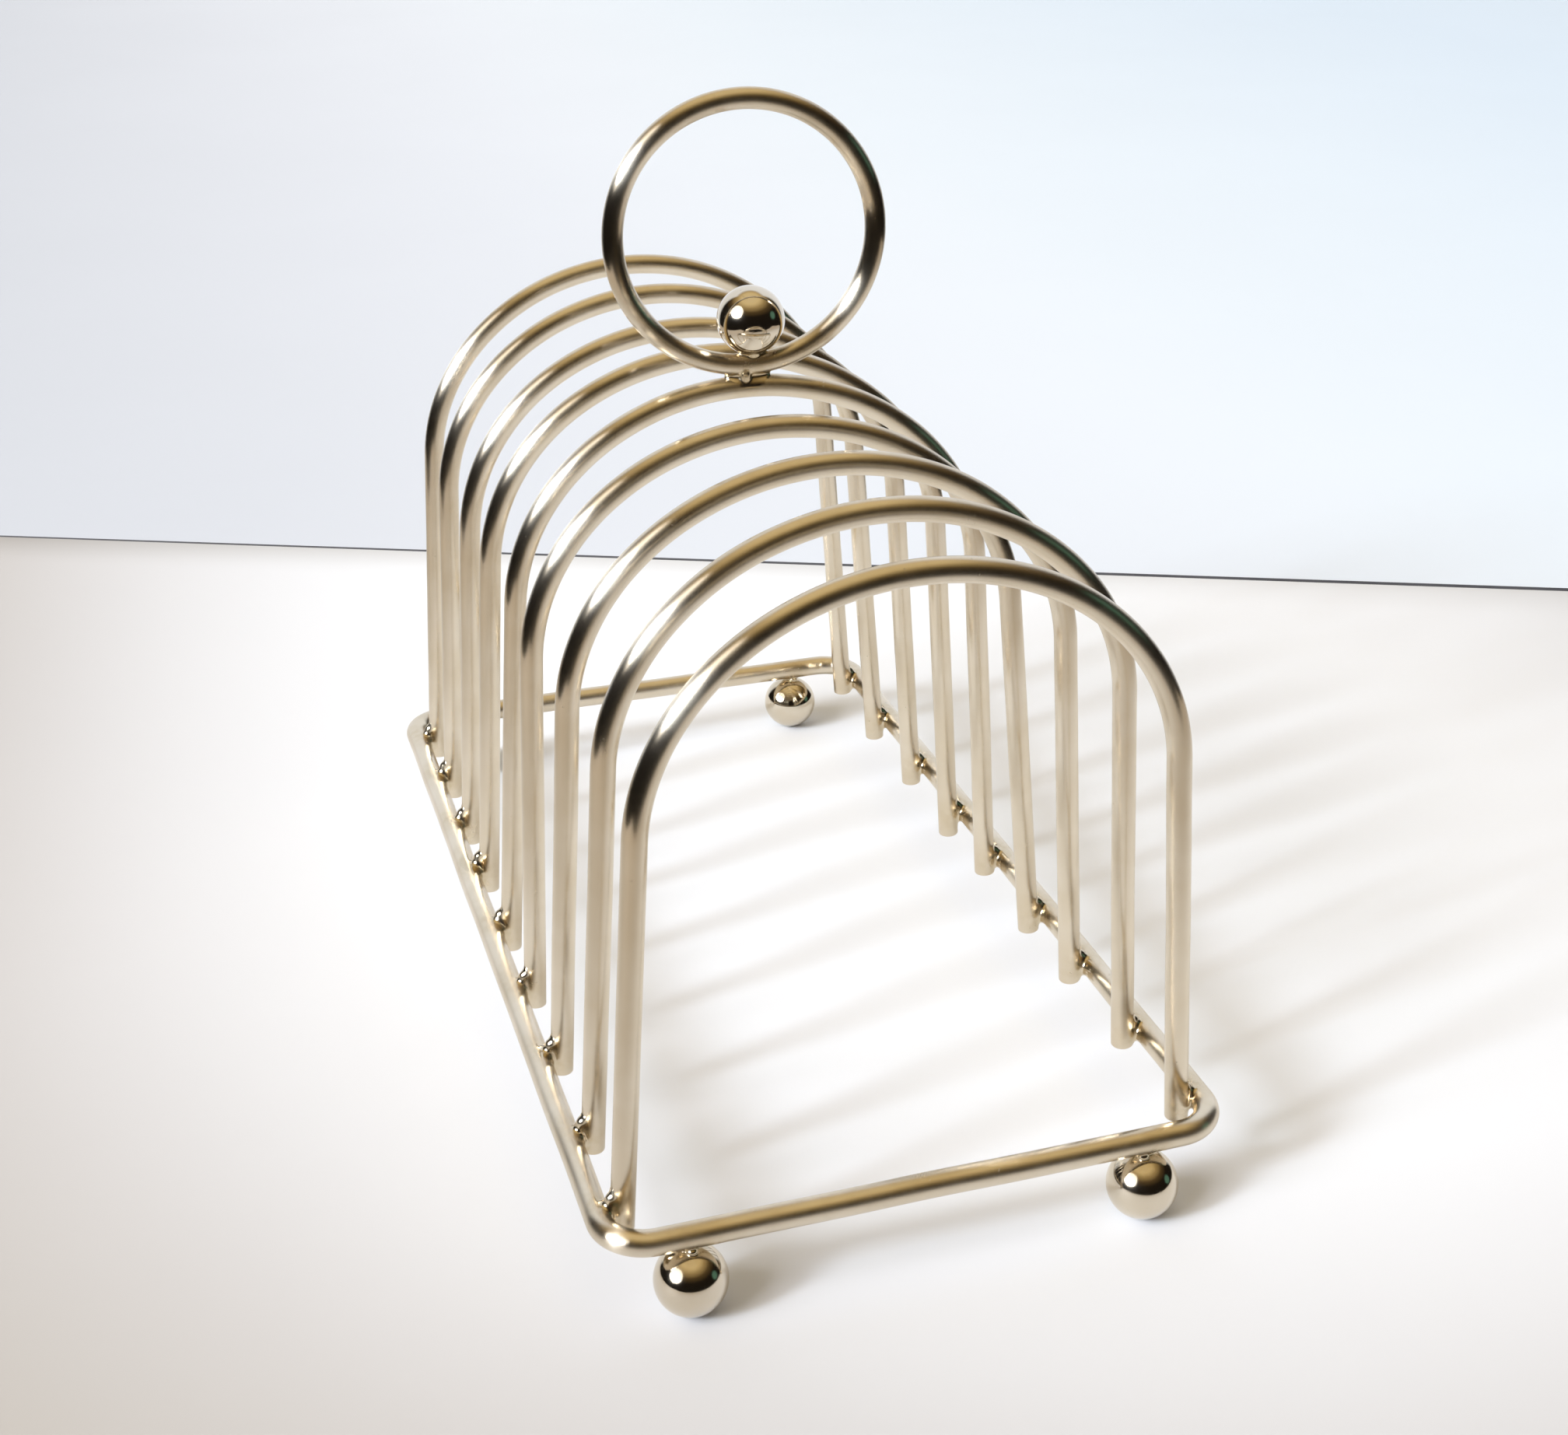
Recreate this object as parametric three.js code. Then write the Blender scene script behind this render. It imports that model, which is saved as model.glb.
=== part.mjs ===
// Wire toast rack: nine arched hoops welded inside a rectangular base frame,
// four ball feet, and an upright ring handle with a ball standing in it.
// Millimetres, +Z up, the rack stands on z = 0, centred on x = y = 0.
// The hoops stand across the rack (in planes close to XZ) and follow each
// other along Y; hoop_1 is the front one (lowest Y), hoop_9 the rear one.

import * as THREE from 'three';

// ---------------------------------------------------------------- dimensions
const HOOP_WIRE_D = 4.0; //    hoops
const FRAME_WIRE_D = 4.3; //   base frame
const RING_WIRE_D = 3.7; //    ring handle
const BALL_D = 12.0; //        ball feet and the ball in the ring
const FOOT_FLAT_D = 2.4; //    small flat ground under each foot
const NECK_D = 3.0; //         weld neck of a ball
const WELD_GAP = 0.12; //      room left between neighbouring welded pieces

const FRAME_HALF_W = 52.0; //  wire centreline, across
const FRAME_HALF_L = 98.0; //  wire centreline, along
const FRAME_CORNER_R = 7.5;
const FRAME_Z = 14.3; //       wire centreline above the table

const HOOP_HALF_W = 43.6; //  horizontal semi-axis of the arch, centreline
const HOOP_ARCH_H = 39.4; //  vertical semi-axis of the arch
const HOOP_ARCH_Z = 77.8; //   height of the arch's centre
const HOOP_LEG_GAP = 0.05; //   between a leg and the inside of the frame
const HOOP_END_R = 0.5; //     rounding of the cut leg ends

const RING_R = 23.1; //        ring centreline radius
const RING_X = 0.3;
const RING_YAW = -0.065; //     the ring stands slightly turned
const RING_BALL_DX = 0.7; //   the ball rests a little off the ring's lowest point
const FOOT_X_FRONT = [-39.4, 37.9];
const FOOT_X_REAR = [-39.2, 38.1];

// Each hoop is bent and set by hand, so each differs a little.
// [y at the left leg, y at the right leg, raise, lean back, roll, left end z, right end z]
const HOOPS = [
  [-88.8, -89.4, -0.6, -0.005, 0.001, 11.0, 11.2],
  [-68.1, -67.9, 2.3, -0.034, -0.004, 11.6, 12.0],
  [-43.8, -44.8, 1.7, -0.034, -0.008, 11.2, 11.5],
  [-20.6, -24.8, -0.5, 0.017, -0.016, 10.7, 10.9],
  [1.7, -2.5, 0.7, -0.006, 0.005, 9.9, 11.6],
  [24.8, 18.1, 0.6, -0.016, -0.001, 10.1, 9.8],
  [44.8, 40.7, -0.5, -0.006, -0.003, 10.5, 10.8],
  [66.6, 65.1, 0.0, 0.004, -0.008, 10.5, 10.4],
  [86.6, 87.6, 0.8, 0.006, -0.003, 10.8, 11.7],
];

// -------------------------------------------------------------- tessellation
const HOOP_SIDES = 12;
const HOOP_ARC_STEPS = 26;
const FRAME_SIDES = 12;
const FRAME_CORNER_STEPS = 6;
const RING_SIDES = 12;
const RING_STEPS = 48;

// ------------------------------------------------------------------ materials
const plated = (name, color, roughness) =>
  Object.assign(new THREE.MeshStandardMaterial({ color, roughness, metalness: 1.0 }), { name });
const WIRE = plated('plated_wire', 0xcfc7ba, 0.16);
const BALL = plated('plated_ball', 0xd3c9b6, 0.1);

// -------------------------------------------------------------------- helpers
// A solid rod swept along a list of stations {p, r} whose centreline lies close
// to one plane with the given normal. Both ends are capped, or it closes on itself.
function sweep(stations, normal, sides, closed) {
  const n = stations.length;
  const pos = [];
  const idx = [];
  const N = normal.clone().normalize();
  // polygon radius that keeps the facets' mean radius equal to the wire's
  const k = 1 / Math.sqrt((sides / (2 * Math.PI)) * Math.sin((2 * Math.PI) / sides));
  for (let i = 0; i < n; i++) {
    const a = stations[closed ? (i + n - 1) % n : Math.max(i - 1, 0)].p;
    const b = stations[closed ? (i + 1) % n : Math.min(i + 1, n - 1)].p;
    const t = stations[i].t ? stations[i].t.clone() : b.clone().sub(a);
    t.normalize();
    const u = N.clone().sub(t.clone().multiplyScalar(N.dot(t))).normalize();
    const v = new THREE.Vector3().crossVectors(t, u);
    for (let j = 0; j < sides; j++) {
      const w = ((j + 0.5) * 2 * Math.PI) / sides;
      const r = stations[i].r * k;
      const q = stations[i].p.clone().addScaledVector(u, r * Math.cos(w)).addScaledVector(v, r * Math.sin(w));
      pos.push(q.x, q.y, q.z);
    }
  }
  const last = closed ? n : n - 1;
  for (let i = 0; i < last; i++) {
    const i2 = (i + 1) % n;
    for (let j = 0; j < sides; j++) {
      const j2 = (j + 1) % sides;
      const a = i * sides + j;
      const b = i * sides + j2;
      const c = i2 * sides + j2;
      const d = i2 * sides + j;
      idx.push(a, b, c, a, c, d);
    }
  }
  if (!closed) {
    for (let j = 1; j < sides - 1; j++) {
      idx.push(0, j + 1, j);
      const o = (n - 1) * sides;
      idx.push(o, o + j, o + j + 1);
    }
  }
  const g = new THREE.BufferGeometry();
  g.setAttribute('position', new THREE.Float32BufferAttribute(pos, 3));
  g.setIndex(idx);
  g.computeVertexNormals();
  return g;
}

// ---------------------------------------------------------------------- hoops
// Half-width of the leg line at the frame, and the splay that joins it to the arch:
// the leg is the tangent to the ellipse that passes through (legX, FRAME_Z).
const LEG_X = FRAME_HALF_W - FRAME_WIRE_D / 2 - HOOP_WIRE_D / 2 - HOOP_LEG_GAP;
function tangentAngle() {
  // ellipse point (A cos t, zc + B sin t); tangent line x cos t / A + (z - zc) sin t / B = 1
  let lo = 0;
  let hi = 0.5;
  const f = (t) =>
    (LEG_X * Math.cos(t)) / HOOP_HALF_W + ((FRAME_Z - HOOP_ARCH_Z) * Math.sin(t)) / HOOP_ARCH_H - 1;
  for (let i = 0; i < 60; i++) {
    const m = (lo + hi) / 2;
    if (f(lo) * f(m) <= 0) hi = m;
    else lo = m;
  }
  return (lo + hi) / 2;
}
const T0 = tangentAngle();
const SHOULDER = [HOOP_HALF_W * Math.cos(T0), HOOP_ARCH_Z + HOOP_ARCH_H * Math.sin(T0)];
const SPLAY = (LEG_X - SHOULDER[0]) / (SHOULDER[1] - FRAME_Z);

function hoopStations(h) {
  const [yl, yr, raise, lean, roll, zl, zr] = h;
  const close = LEG_X / (LEG_X + raise * SPLAY); // a raised hoop still meets the frame
  const map = (x, z) => {
    const z1 = z + raise;
    const X = x * close + (z1 - FRAME_Z) * roll;
    const Z = z1 - x * roll;
    const Y = (yl + yr) / 2 + ((yr - yl) / 2) * (x / LEG_X) + (Z - FRAME_Z) * Math.tan(lean);
    return new THREE.Vector3(X, Y, Z);
  };
  // a point of the leg line at a wanted finished height
  const leg = (side, Z) => {
    let z = Z;
    for (let i = 0; i < 8; i++) {
      const p = map(side * (LEG_X - (z - FRAME_Z) * SPLAY), z);
      z += Z - p.z;
    }
    return map(side * (LEG_X - (z - FRAME_Z) * SPLAY), z);
  };
  const r = HOOP_WIRE_D / 2;
  const s = [];
  s.push({ p: leg(1, zr), r: r - HOOP_END_R });
  s.push({ p: leg(1, zr + HOOP_END_R), r });
  for (let i = 0; i <= HOOP_ARC_STEPS; i++) {
    const t = T0 + ((Math.PI - 2 * T0) * i) / HOOP_ARC_STEPS;
    s.push({ p: map(HOOP_HALF_W * Math.cos(t), HOOP_ARCH_Z + HOOP_ARCH_H * Math.sin(t)), r });
  }
  s.push({ p: leg(-1, zl + HOOP_END_R), r });
  s.push({ p: leg(-1, zl), r: r - HOOP_END_R });
  // keep the cut ends square to the legs
  const n = s.length;
  const tr = s[2].p.clone().sub(s[1].p);
  const tl = s[n - 2].p.clone().sub(s[n - 3].p);
  s[0].t = tr;
  s[1].t = tr;
  s[n - 1].t = tl;
  s[n - 2].t = tl;
  return s;
}

function makeHoop(i) {
  const h = HOOPS[i];
  const normal = new THREE.Vector3(-(h[1] - h[0]) / (2 * LEG_X), 1, -Math.tan(h[3]));
  return sweep(hoopStations(h), normal, HOOP_SIDES, false);
}

// ----------------------------------------------------------------- base frame
function makeFrame() {
  const w = FRAME_HALF_W - FRAME_CORNER_R;
  const l = FRAME_HALF_L - FRAME_CORNER_R;
  const s = [];
  [
    [1, 1, 0],
    [-1, 1, 1],
    [-1, -1, 2],
    [1, -1, 3],
  ].forEach(([sx, sy, q]) => {
    for (let k = 0; k <= FRAME_CORNER_STEPS; k++) {
      const a = ((q + k / FRAME_CORNER_STEPS) * Math.PI) / 2;
      s.push({
        p: new THREE.Vector3(sx * w + FRAME_CORNER_R * Math.cos(a), sy * l + FRAME_CORNER_R * Math.sin(a), FRAME_Z),
        t: new THREE.Vector3(-Math.sin(a), Math.cos(a), 0),
        r: FRAME_WIRE_D / 2,
      });
    }
  });
  return sweep(s, new THREE.Vector3(0, 0, 1), FRAME_SIDES, true);
}

// ---------------------------------------------------------------------- balls
// A ball turned about Z. `flat` grinds a small flat at the bottom, `neckTop`
// is the end of its weld neck above the centre.
function makeBall(flat, neckTop) {
  const R = BALL_D / 2;
  const rn = NECK_D / 2;
  const pts = [];
  let a0 = -Math.PI / 2;
  let a1 = Math.PI / 2;
  if (flat) {
    a0 = -Math.acos(FOOT_FLAT_D / 2 / R);
    pts.push(new THREE.Vector2(0, R * Math.sin(a0)));
  }
  if (neckTop !== null) a1 = Math.acos(rn / R);
  const steps = 13;
  for (let i = 0; i <= steps; i++) {
    const a = a0 + ((a1 - a0) * i) / steps;
    const x = Math.max(0, R * Math.cos(a));
    pts.push(new THREE.Vector2(x < 1e-6 ? 0 : x, R * Math.sin(a)));
  }
  if (neckTop !== null) pts.push(new THREE.Vector2(rn, neckTop), new THREE.Vector2(0, neckTop));
  const g = new THREE.LatheGeometry(pts, 22);
  g.rotateX(Math.PI / 2); // lathe axis Y -> Z
  return g;
}

// ------------------------------------------------------------------- assembly
const rack = new THREE.Group();
rack.name = 'toast_rack';
const add = (name, geometry, material) => {
  const m = new THREE.Mesh(geometry, material);
  m.name = name;
  rack.add(m);
  return m;
};

add('base_frame', makeFrame(), WIRE);
HOOPS.forEach((h, i) => add(`hoop_${i + 1}`, makeHoop(i), WIRE));

// top of the middle hoop, where the ring stands
const MID = HOOPS[4];
const MID_TOP_Z = HOOP_ARCH_Z + HOOP_ARCH_H + MID[2] + HOOP_WIRE_D / 2;
const MID_Y = (MID[0] + MID[1]) / 2 + (MID_TOP_Z - FRAME_Z) * Math.tan(MID[3]);

const ringZ = MID_TOP_Z + WELD_GAP + RING_WIRE_D / 2 + RING_R;
const ring = add('ring_handle', new THREE.TorusGeometry(RING_R, RING_WIRE_D / 2, RING_SIDES, RING_STEPS), WIRE);
ring.rotation.order = 'ZXY';
ring.rotation.set(Math.PI / 2, 0, RING_YAW);
ring.position.set(RING_X, MID_Y, ringZ);

const ringFloor = ringZ - RING_R + RING_WIRE_D / 2; // inside of the ring, at its lowest point
const ringBall = add('ring_ball', makeBall(false, null), BALL);
ringBall.position.set(RING_X + RING_BALL_DX, MID_Y, ringFloor + WELD_GAP + BALL_D / 2);

// a foot's flat is on z = 0, its neck reaches up under the frame wire
const flatDrop = Math.sqrt((BALL_D / 2) ** 2 - (FOOT_FLAT_D / 2) ** 2);
const neckTop = FRAME_Z - FRAME_WIRE_D / 2 - WELD_GAP - flatDrop;
[
  ['foot_front_left', FOOT_X_FRONT[0], -1],
  ['foot_front_right', FOOT_X_FRONT[1], -1],
  ['foot_rear_left', FOOT_X_REAR[0], 1],
  ['foot_rear_right', FOOT_X_REAR[1], 1],
].forEach(([name, x, s]) => {
  const f = add(name, makeBall(true, neckTop), BALL);
  f.position.set(x, s * FRAME_HALF_L, flatDrop);
});

export default rack;
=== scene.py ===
import math
import random

import bpy
import bmesh
import numpy as np
from mathutils import Matrix, Vector


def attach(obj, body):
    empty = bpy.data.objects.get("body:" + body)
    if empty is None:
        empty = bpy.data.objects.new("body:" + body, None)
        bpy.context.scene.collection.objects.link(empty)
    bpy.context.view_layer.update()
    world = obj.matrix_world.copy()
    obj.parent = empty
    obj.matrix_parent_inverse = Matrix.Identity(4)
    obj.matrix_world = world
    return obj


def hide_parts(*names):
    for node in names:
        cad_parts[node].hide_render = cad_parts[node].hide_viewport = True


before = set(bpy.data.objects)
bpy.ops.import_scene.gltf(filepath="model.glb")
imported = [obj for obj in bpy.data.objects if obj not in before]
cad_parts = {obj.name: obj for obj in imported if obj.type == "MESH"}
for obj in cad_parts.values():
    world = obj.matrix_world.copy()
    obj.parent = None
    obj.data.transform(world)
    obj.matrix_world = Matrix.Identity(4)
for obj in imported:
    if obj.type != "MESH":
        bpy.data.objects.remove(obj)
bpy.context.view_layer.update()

MM = 0.001
random.seed(11)
rng = np.random.default_rng(7)

# ------------------------------------------------------------------ dimensions
# the same driving dimensions as the CAD model, in millimetres
HOOP_WIRE_D = 4.0
FRAME_WIRE_D = 4.3
RING_WIRE_D = 3.7
BALL_D = 12.0
FOOT_FLAT_D = 2.4
WELD_GAP = 0.12

FRAME_HALF_W = 52.0
FRAME_HALF_L = 98.0
FRAME_CORNER_R = 7.5
FRAME_Z = 14.3

HOOP_HALF_W = 43.6
HOOP_ARCH_H = 39.4
HOOP_ARCH_Z = 77.8
HOOP_LEG_GAP = 0.05
HOOP_END_R = 0.5

RING_R = 23.1
RING_X = 0.3
RING_YAW = -0.065
RING_BALL_DX = 0.7
FOOT_X_FRONT = (-39.4, 37.9)
FOOT_X_REAR = (-39.2, 38.1)

# y left leg, y right leg, raise, lean, roll, left end z, right end z
HOOPS = [
    (-88.8, -89.4, -0.6, -0.005, 0.001, 11.0, 11.2),
    (-68.1, -67.9, 2.3, -0.034, -0.004, 11.6, 12.0),
    (-43.8, -44.8, 1.7, -0.034, -0.008, 11.2, 11.5),
    (-20.6, -24.8, -0.5, 0.017, -0.016, 10.7, 10.9),
    (1.7, -2.5, 0.7, -0.006, 0.005, 9.9, 11.6),
    (24.8, 18.1, 0.6, -0.016, -0.001, 10.1, 9.8),
    (44.8, 40.7, -0.5, -0.006, -0.003, 10.5, 10.8),
    (66.6, 65.1, 0.0, 0.004, -0.008, 10.5, 10.4),
    (86.6, 87.6, 0.8, 0.006, -0.003, 10.8, 11.7),
]

LEG_X = FRAME_HALF_W - FRAME_WIRE_D / 2 - HOOP_WIRE_D / 2 - HOOP_LEG_GAP


def tangent_angle():
    lo, hi = 0.0, 0.5

    def f(t):
        return (
            LEG_X * math.cos(t) / HOOP_HALF_W
            + (FRAME_Z - HOOP_ARCH_Z) * math.sin(t) / HOOP_ARCH_H
            - 1
        )

    for _ in range(60):
        m = (lo + hi) / 2
        if f(lo) * f(m) <= 0:
            hi = m
        else:
            lo = m
    return (lo + hi) / 2


T0 = tangent_angle()
SHOULDER = (HOOP_HALF_W * math.cos(T0), HOOP_ARCH_Z + HOOP_ARCH_H * math.sin(T0))
SPLAY = (LEG_X - SHOULDER[0]) / (SHOULDER[1] - FRAME_Z)


def hoop_map(h):
    yl, yr, rise, lean, roll, _, _ = h
    close = LEG_X / (LEG_X + rise * SPLAY)

    def m(x, z):
        z1 = z + rise
        X = x * close + (z1 - FRAME_Z) * roll
        Z = z1 - x * roll
        Y = (yl + yr) / 2 + ((yr - yl) / 2) * (x / LEG_X) + (Z - FRAME_Z) * math.tan(lean)
        return np.array([X, Y, Z])

    return m


def leg_point(h, side, Z):
    m = hoop_map(h)
    z = Z
    for _ in range(8):
        p = m(side * (LEG_X - (z - FRAME_Z) * SPLAY), z)
        z += Z - p[2]
    return m(side * (LEG_X - (z - FRAME_Z) * SPLAY), z)


# -------------------------------------------------------------- mesh from rods
def new_mesh(name, verts, faces, uvs=None, smooth=True):
    me = bpy.data.meshes.new(name)
    me.from_pydata([tuple(float(c) * MM for c in v) for v in verts], [], faces)
    me.update()
    if smooth:
        me.polygons.foreach_set("use_smooth", [True] * len(me.polygons))
    if uvs is not None:
        layer = me.uv_layers.new(name="run")
        flat = []
        for poly in faces_uv(me, uvs):
            flat.extend(poly)
        layer.data.foreach_set("uv", flat)
    ob = bpy.data.objects.new(name, me)
    bpy.context.scene.collection.objects.link(ob)
    return ob


def faces_uv(me, uvs):
    for poly in me.polygons:
        us = [uvs[v] for v in poly.vertices]
        umax = max(u for u, _ in us)
        vmax = max(v for _, v in us)
        for u, v in us:
            # the seam faces carry on past the last column
            uu = u + 1.0 if umax - u > 0.5 else u
            yield (uu, v if vmax - v < 0.2 else v + vmax)


def rod(name, pts, radii, tangents, normal, sides, closed):
    """A round rod along pts, its cross-section turned so that one axis keeps to the given normal."""
    P = np.asarray(pts, float)
    n = len(P)
    R = np.asarray(radii, float)
    T = np.asarray(tangents, float)
    T /= np.linalg.norm(T, axis=1)[:, None]
    N = np.asarray(normal, float)
    N = N / np.linalg.norm(N)
    U = N[None, :] - T * (T @ N)[:, None]
    U /= np.linalg.norm(U, axis=1)[:, None]
    V = np.cross(T, U)
    a = np.arange(sides) * 2 * np.pi / sides
    ring = (
        P[:, None, :]
        + (R[:, None] * np.cos(a)[None, :])[:, :, None] * U[:, None, :]
        + (R[:, None] * np.sin(a)[None, :])[:, :, None] * V[:, None, :]
    )
    verts = ring.reshape(-1, 3).tolist()
    seg = np.linalg.norm(np.diff(P, axis=0), axis=1)
    along = np.concatenate([[0], np.cumsum(seg)]) * MM
    uvs = [(j / sides, along[i]) for i in range(n) for j in range(sides)]
    faces = []
    last = n if closed else n - 1
    for i in range(last):
        i2 = (i + 1) % n
        for j in range(sides):
            j2 = (j + 1) % sides
            faces.append((i * sides + j, i * sides + j2, i2 * sides + j2, i2 * sides + j))
    if not closed:
        faces.append(tuple(reversed(range(sides))))
        faces.append(tuple((n - 1) * sides + j for j in range(sides)))
    ob = new_mesh(name, verts, faces, uvs)
    if not closed:
        for poly in list(ob.data.polygons)[-2:]:
            poly.use_smooth = False
    return ob


def tangents_of(P, closed=False):
    P = np.asarray(P, float)
    if closed:
        return np.roll(P, -1, axis=0) - np.roll(P, 1, axis=0)
    T = np.empty_like(P)
    T[1:-1] = P[2:] - P[:-2]
    T[0] = P[1] - P[0]
    T[-1] = P[-1] - P[-2]
    return T


def wander(s, amp, seed, waves=(38.0, 61.0, 17.0)):
    """A slow hand-bent drift along a wire, s in millimetres, about amp millimetres each way."""
    g = np.random.default_rng(seed)
    out = np.zeros_like(s)
    for w in waves:
        out += amp * g.uniform(0.4, 1.0) * np.sin(2 * np.pi * s / w + g.uniform(0, 2 * np.pi)) * (w / 61.0)
    return out


def end_profile(r):
    """Distances from the cut end and radii: a square cut with its edge tumbled round."""
    e = 0.26
    rows = [(0.0, r - e - 0.06), (0.004, r - e)]
    for k in range(1, 7):
        a = k / 6 * math.pi / 2
        rows.append((0.004 + e * (1 - math.cos(a)), r - e + e * math.sin(a)))
    return rows


def make_hoop(i):
    h = HOOPS[i]
    m = hoop_map(h)
    r = HOOP_WIRE_D / 2
    ends = end_profile(r)
    zl, zr = h[5], h[6]
    pts, rad = [], []
    for d, q in ends:
        pts.append(leg_point(h, 1, zr + d))
        rad.append(q)
    top = SHOULDER[1] + h[2]
    base = zr + ends[-1][0]
    for k in range(1, 30):
        pts.append(leg_point(h, 1, base + (top - base) * k / 30))
        rad.append(r)
    steps = 120
    for k in range(steps + 1):
        t = T0 + (math.pi - 2 * T0) * k / steps
        pts.append(m(HOOP_HALF_W * math.cos(t), HOOP_ARCH_Z + HOOP_ARCH_H * math.sin(t)))
        rad.append(r)
    base = zl + ends[-1][0]
    for k in range(29, 0, -1):
        pts.append(leg_point(h, -1, base + (top - base) * k / 30))
        rad.append(r)
    for d, q in reversed(ends):
        pts.append(leg_point(h, -1, zl + d))
        rad.append(q)
    P = np.array(pts)
    T = tangents_of(P)
    ne = len(ends)
    T[: ne + 1] = P[ne + 4] - P[ne]
    T[-ne - 1 :] = P[-ne - 1] - P[-ne - 5]
    normal = np.array([-(h[1] - h[0]) / (2 * LEG_X), 1, -math.tan(h[3])])
    normal /= np.linalg.norm(normal)
    # the wire is never perfectly straight: a few hundredths of a millimetre
    seg = np.concatenate([[0], np.cumsum(np.linalg.norm(np.diff(P, axis=0), axis=1))])
    S = seg[-1]
    fade = np.clip(np.minimum(seg, S - seg) / 14.0 - 0.4, 0, 1)
    Tn = T / np.linalg.norm(T, axis=1)[:, None]
    B = np.cross(Tn, normal)
    P = P + (wander(seg, 0.035, 100 + i) * fade)[:, None] * normal + (wander(seg, 0.03, 200 + i) * fade)[:, None] * B
    ob = rod("hoop_wire_%d" % (i + 1), P, rad, T, normal, 36, False)
    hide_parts("hoop_%d" % (i + 1))
    return ob


def make_frame():
    w = FRAME_HALF_W - FRAME_CORNER_R
    l = FRAME_HALF_L - FRAME_CORNER_R
    pts, tan = [], []
    quad = [(1, 1), (-1, 1), (-1, -1), (1, -1)]
    for q, (sx, sy) in enumerate(quad):
        for k in range(17):
            a = (q + k / 16) * math.pi / 2
            pts.append((sx * w + FRAME_CORNER_R * math.cos(a), sy * l + FRAME_CORNER_R * math.sin(a), FRAME_Z))
            tan.append((-math.sin(a), math.cos(a), 0))
        nx, ny = quad[(q + 1) % 4]
        a = (q + 1) * math.pi / 2
        p0 = np.array(pts[-1])
        p1 = np.array((nx * w + FRAME_CORNER_R * math.cos(a), ny * l + FRAME_CORNER_R * math.sin(a), FRAME_Z))
        cnt = 44 if q % 2 == 0 else 72
        for k in range(1, cnt):
            pts.append(tuple(p0 + (p1 - p0) * k / cnt))
            tan.append((-math.sin(a), math.cos(a), 0))
    P = np.array(pts)
    T = np.array(tan)
    seg = np.concatenate([[0], np.cumsum(np.linalg.norm(np.diff(P, axis=0), axis=1))])
    S = seg[-1] + np.linalg.norm(P[0] - P[-1])
    drift = np.zeros_like(seg)
    side = np.zeros_like(seg)
    for k, a, b in ((9, 0.035, 0.4), (15, 0.03, 2.1), (23, 0.02, 4.0)):
        drift += a * np.sin(2 * np.pi * k * seg / S + b)
        side += a * 0.8 * np.sin(2 * np.pi * k * seg / S + b + 1.7)
    P[:, 2] += drift
    N = np.stack([T[:, 1], -T[:, 0], np.zeros(len(T))], 1)
    P += side[:, None] * N
    ob = rod("base_frame_wire", P, np.full(len(P), FRAME_WIRE_D / 2), T, (0, 0, 1), 40, True)
    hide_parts("base_frame")
    return ob


# top of the middle hoop, where the ring stands
MID = HOOPS[4]
MID_TOP_Z = HOOP_ARCH_Z + HOOP_ARCH_H + MID[2] + HOOP_WIRE_D / 2
MID_Y = (MID[0] + MID[1]) / 2 + (MID_TOP_Z - FRAME_Z) * math.tan(MID[3])
RING_Z = MID_TOP_Z + WELD_GAP + RING_WIRE_D / 2 + RING_R
RING_FLOOR = RING_Z - RING_R + RING_WIRE_D / 2
RING_BALL = np.array([RING_X + RING_BALL_DX, MID_Y, RING_FLOOR + WELD_GAP + BALL_D / 2])


def make_ring():
    n = 160
    a = np.arange(n) * 2 * np.pi / n
    # a hair out of round, as a wrapped ring is
    rr = RING_R + 0.05 * np.cos(2 * a + 0.8) + 0.025 * np.cos(3 * a - 0.4)
    P = np.stack(
        [
            RING_X + rr * np.cos(a) * math.cos(RING_YAW),
            MID_Y + rr * np.cos(a) * math.sin(RING_YAW),
            RING_Z + rr * np.sin(a),
        ],
        1,
    )
    ob = rod("ring_wire", P, np.full(n, RING_WIRE_D / 2), tangents_of(P, True), (-math.sin(RING_YAW), math.cos(RING_YAW), 0), 36, True)
    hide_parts("ring_handle")
    return ob


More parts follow.
